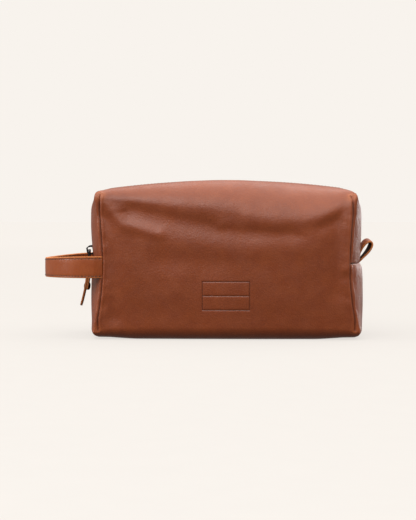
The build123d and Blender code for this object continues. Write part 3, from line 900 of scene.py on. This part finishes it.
# ---- leather puller and its rivet
PULLER_HINGE = np.array(joint("puller_hinge")["pos_m"]) / MM
PULLER_TILT = math.radians(7.0)
PULLER_LENGTH = 41.7
PULLER_FOLD = 25.5  # length of the short ply
PULLER_PLY = 1.95
PULLER_WIDTH = 8.6
PULLER_LOOP = 1.85  # radius of the fold round the ring
PULLER_BEND = (1.7, 1.0)  # how far the tip bends outward, and the middle inward
RIVET_DROP = 22.0
down = np.array([-math.sin(PULLER_TILT), 0, -math.cos(PULLER_TILT)])
outward = np.array([-math.cos(PULLER_TILT), 0, math.sin(PULLER_TILT)])


def puller_place(drop, off):
    """Places this far below the ring's bar and outward from the puller's middle."""
    share = np.maximum(drop, 0) / PULLER_LENGTH
    bend = PULLER_BEND[0] * share**2 - PULLER_BEND[1] * np.sin(math.pi * share)
    return PULLER_HINGE + np.multiply.outer(drop, down) + np.multiply.outer(off + bend, outward)


long_drop = np.concatenate([np.linspace(PULLER_LENGTH, PULLER_LENGTH - 4.5, 16),
                            np.linspace(PULLER_LENGTH - 5.5, 0.3, 60)])
loop_turn = np.linspace(math.pi / 2, -math.pi / 2, 17)
short_drop = np.linspace(0.3, PULLER_FOLD, 44)


def ply_gap(drop):
    """How far a ply stands off the puller's middle: further near the fold."""
    return PULLER_PLY / 2 + 0.03 + (PULLER_LOOP - PULLER_PLY / 2) * (1 - smooth_step(drop / 7.5))


drops = np.concatenate([long_drop, -PULLER_LOOP * np.cos(loop_turn), short_drop])
offs = np.concatenate([ply_gap(long_drop), PULLER_LOOP * np.sin(loop_turn), -ply_gap(short_drop)])
widths = PULLER_WIDTH - 1.4 * (1 - smooth_step(np.abs(drops) / 14))
tip_share = np.clip((PULLER_LENGTH - drops) / 4.4, 0, 1)
widths = np.where(offs > 0, widths * np.sqrt(np.clip(1 - (1 - tip_share) ** 2, 0.02, 1)), widths)
end_share = np.clip((PULLER_FOLD + 0.4 - drops) / 1.6, 0, 1)
widths = np.where(offs < 0, widths * (0.78 + 0.22 * np.sqrt(1 - (1 - end_share) ** 2)), widths)
puller = strip("puller_strip", puller_place(drops, offs), -WIDE, widths, PULLER_PLY)
dress(puller, STRAP, FLESH, RAW_EDGE)
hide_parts("puller_leather")
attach(puller, "puller")


def turned_disc(name, centre, axis, profile, count=28):
    """A round piece from its profile: distances along its axis and radii."""
    angle = np.arange(count) * 2 * math.pi / count
    spin = np.cos(angle)[:, None] * WIDE + np.sin(angle)[:, None] * np.cross(axis, WIDE)
    points = np.concatenate([centre + axis * rise + spin * radius for rise, radius in profile])
    return mesh_object(name, points, tube_faces(len(profile), count), closed=True)


rivet_place = puller_place(np.array(RIVET_DROP), np.array(0.0))
# The rivet's profile: distances out of the puller's inner and outer face, and radii.
RIVET_FOOT = [(0.75, 0.15), (0.7, 1.6), (0.45, 2.3), (-0.1, 2.4), (-0.2, 1.2)]
RIVET_HEAD = [(-0.8, 1.2), (-0.6, 3.4), (-0.35, 3.75), (0.2, 3.75), (0.7, 3.45), (1.15, 2.8), (1.45, 1.9),
              (1.6, 0.9), (1.64, 0.15)]
face = PULLER_PLY + 0.03
profile = [(-face - rise, radius) for rise, radius in RIVET_FOOT]
profile += [(face + rise, radius) for rise, radius in RIVET_HEAD]
rivet = dress(turned_disc("rivet_cap", rivet_place, -outward, profile), DARK_METAL)
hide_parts("puller_rivet")
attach(rivet, "puller")


# ---- side strap
strap_low, strap_high = mm_box("strap_outer_ply")
STRAP_Z = (strap_low[2] + strap_high[2]) / 2
STRAP_WIDTH = strap_high[2] - strap_low[2]
STRAP_ROOT_X = strap_high[0]
STRAP_RADIUS = (strap_high[1] - strap_low[1]) / 2
STRAP_SHORT = 3.0  # how far the strap stops short of the CAD's
STRAP_DROOP = 1.6
PLY = 1.4


def strap_line(depth, count=220):
    """The strap's course at this depth under its outer face, from one corner seam to the other."""
    turn = np.linspace(-math.pi / 2, math.pi / 2, count)
    radius = STRAP_RADIUS - depth
    reach = strap_high[0] - strap_low[0] - STRAP_SHORT - depth
    x = STRAP_ROOT_X - reach * np.cos(turn) * (1 - 0.035 * np.sin(2 * turn) ** 2)
    y = radius * np.sin(turn) * (1 - 0.02 * np.cos(turn) ** 2)
    tuck = np.linspace(8.0, 0.4, 10)
    x = np.concatenate([x[0] + tuck, x, x[-1] + tuck[::-1]])
    y = np.concatenate([y[0] * (1 - 0.003 * tuck), y, y[-1] * (1 - 0.003 * tuck[::-1])])
    droop = np.clip((STRAP_ROOT_X - x) / reach, 0, 1) ** 2
    z = STRAP_Z - 0.3 - STRAP_DROOP * droop + (0.45 + 0.45 * y / radius) * (1 - droop)
    return np.stack([x, y, z], -1)


def strap_width(line):
    """The strap's width along its course, less at its far end."""
    return STRAP_WIDTH + 0.4 - 2.4 * np.clip((STRAP_ROOT_X - line[:, 0]) / 60, 0, 1) ** 2


strap_parts = []
for name, depth, narrower in (("outer", PLY / 2, 0.0), ("inner", PLY * 1.5 + 0.05, 0.5)):
    line = strap_line(depth)
    ply = strip(f"strap_{name}_leather", line, UP, strap_width(line) - narrower, PLY)
    dress(ply, STRAP, STRAP, STRAP_EDGE_AND_PAINTED_BOUNCE)
    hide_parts(f"strap_{name}_ply")
    strap_parts.append(ply)
rows = []
for face, depth in ((1, -0.04), (-1, PLY * 2 + 0.09)):
    line = strap_line(depth, 500)
    away = unit(np.cross(np.gradient(line, axis=0), UP)) * -face
    for level in (-1, 1):
        row = line + UP * (level * (strap_width(line) / 2 - 2.0))[:, None]
        rows.append(stitch_parts(row, away, *STRAP_STITCH))
sewn = dress(joined("strap_stitching", rows), THREAD)
strap_parts.append(sewn)
for piece in strap_parts:
    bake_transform(piece)


# ---- end tab
tab_low, tab_high = mm_box("end_tab")
TAB_ROOT = np.array([124.6, 0.0, 69.8])
TAB_TILT = math.radians(53)
TAB_LENGTH = 25.5
TAB_EYE = 5.06  # how wide the loop opens
TAB_PLY = 1.75
TAB_TWIST = (-2.0, 0, 2.5)  # how far the loop's far edge is turned aside
t = np.linspace(0.0, 2 * math.pi, 130)
reach = TAB_LENGTH * (1 - np.cos(t)) / 2
bulge = TAB_EYE * np.sin(t) * np.sin(t / 2) ** 1.35
bulge += (TAB_PLY / 2 + 0.05) * np.where(t < math.pi, 1, -1) * (1 - smooth_step(reach / 11))
along = np.array([math.cos(TAB_TILT), 0, math.sin(TAB_TILT)])
over = np.array([-math.sin(TAB_TILT), 0, math.cos(TAB_TILT)])
loop = TAB_ROOT + reach[:, None] * along + bulge[:, None] * over
tab = strip("tab_leather", loop, -WIDE, tab_high[1] - tab_low[1], TAB_PLY)
flat = points_of(tab)
far = (flat[:, 1] - tab_low[1]) / (tab_high[1] - tab_low[1])
free = smooth_step(((flat - TAB_ROOT) @ along) / TAB_LENGTH)
flat += (far * free)[:, None] * np.array(TAB_TWIST)
tab.data.vertices.foreach_set("co", (flat * MM).ravel())
dress(tab, STRAP, FLESH, STRAP_EDGE_AND_PAINTED_BOUNCE)
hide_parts("end_tab")
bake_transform(tab)


# ---- stage, light and camera
def area_light(name, place, aim, size, power):
    """A lamp in metres and watts."""
    light = bpy.data.lights.new(name, "AREA")
    light.shape = "RECTANGLE"
    light.size, light.size_y = size
    light.energy = power
    holder = bpy.data.objects.new(name, light)
    holder.location = place
    holder.rotation_euler = (Vector(aim) - Vector(place)).to_track_quat("-Z", "Y").to_euler()
    bpy.context.scene.collection.objects.link(holder)


CREAM = (0.939, 0.896, 0.847)
WORLD_TINT = (1.0, 0.965, 0.93, 1)
# The world's light along an axis: where its change starts and stops, and its least and most.
WORLD_LIGHT = (("Z", 0.30, 0.95, 0.19, 2.70), ("Y", -0.3, 0.8, 0.0, 0.12))


def world_light():
    """Soft studio light by its direction: most from above, a little from behind."""
    world = bpy.data.worlds.new("studio")
    world.use_nodes = True
    tree = world.node_tree
    way = tree.nodes.new("ShaderNodeSeparateXYZ")
    tree.links.new(tree.nodes.new("ShaderNodeTexCoord").outputs["Generated"], way.inputs[0])
    total = tree.nodes.new("ShaderNodeMath")
    for k, (axis, *values) in enumerate(WORLD_LIGHT):
        spread = tree.nodes.new("ShaderNodeMapRange")
        spread.interpolation_type = "SMOOTHSTEP"
        for key, value in zip(("From Min", "From Max", "To Min", "To Max"), values):
            spread.inputs[key].default_value = value
        tree.links.new(way.outputs[axis], spread.inputs["Value"])
        tree.links.new(spread.outputs["Result"], total.inputs[k])
    background = tree.nodes["Background"]
    tree.links.new(total.outputs["Value"], background.inputs["Strength"])
    background.inputs["Color"].default_value = WORLD_TINT
    bpy.context.scene.world = world


world_light()
bpy.context.scene.view_settings.view_transform = "Standard"


def set_apart(thing, name):
    """A backdrop or floor that neither lights the bag nor shows in its gloss."""
    thing.name = name
    for way in ("diffuse", "glossy", "transmission", "shadow", "volume_scatter"):
        setattr(thing, f"visible_{way}", False)


DOME_RADIUS, FLOOR_RADIUS = 16, 15  # in metres: no further than the moved cameras see
FLOOR_SHARE = 0.11  # the floor's own colour as a share of the backdrop's; it emits the rest
FLOOR_GLOW = (0.75, 0.81)  # what it emits near the bag and far from it, where the lamps give less
bpy.ops.mesh.primitive_uv_sphere_add(segments=64, ring_count=32, radius=DOME_RADIUS)
dome = bpy.context.object
paint = Nodes("backdrop")
paint.finish(Base_Color=(0, 0, 0, 1), Roughness=1.0, Specular_IOR_Level=0.0,
             Emission_Color=(*CREAM, 1), Emission_Strength=1.0)
dome.data.materials.append(paint.material)
set_apart(dome, "backdrop")

bpy.ops.mesh.primitive_circle_add(vertices=96, radius=FLOOR_RADIUS, fill_type="NGON",
                                  location=(0, 0, -0.0002))
floor = bpy.context.object
ground = Nodes("floor")
from_bag = ground.add("ShaderNodeVectorMath", {0: ground.place}, operation="LENGTH").outputs["Value"]
soft_tone = ground.spread(ground.noise(40, 3, 0.6), 0.3, 0.7)
pale, paler = (tuple(c * FLOOR_SHARE * k for c in CREAM) for k in (0.98, 1.02))
floor.data.materials.append(ground.finish(
    Base_Color=ground.mix(soft_tone, pale, paler), Roughness=1.0, Specular_IOR_Level=0.0,
    Emission_Color=(*CREAM, 1), Emission_Strength=ground.spread(from_bag, 0.6, 4.0, *FLOOR_GLOW)))
set_apart(floor, "floor")

for lamp in (
    ("upper_front", (-0.8, -2.6, 2.0), (0, 0, 0.08), (2.2, 1.6), 59.0),
    ("upper_back", (0.5, 2.0, 2.6), (0, 0, 0.08), (1.6, 1.2), 4.0),
    ("left", (-2.0, -0.3, 0.8), (-0.1, 0, 0.07), (0.8, 0.8), 22.0),
    ("right", (2.0, -0.2, 0.9), (0.1, 0, 0.07), (0.8, 0.8), 12.0),
    ("right_back", (1.2, 1.9, 0.5), (0.1, 0, 0.07), (0.35, 1.0), 7.0),
):
    area_light(*lamp)

AIM = Vector((-0.0184, 0.0, 0.0727))
DISTANCE = 1.4
AZIMUTH, ELEVATION = math.radians(1.5), math.radians(1.94)
LENS = 124.3
camera_data = bpy.data.cameras.new("camera")
camera_data.sensor_width = 36.0
camera_data.sensor_fit = "HORIZONTAL"
camera_data.lens = LENS
camera = bpy.data.objects.new("camera", camera_data)
level = math.cos(ELEVATION)
away = Vector((math.sin(AZIMUTH) * level, -math.cos(AZIMUTH) * level, math.sin(ELEVATION)))
camera.location = AIM + away * DISTANCE
camera.rotation_euler = (-away).to_track_quat("-Z", "Y").to_euler()
bpy.context.scene.collection.objects.link(camera)
bpy.context.scene.camera = camera
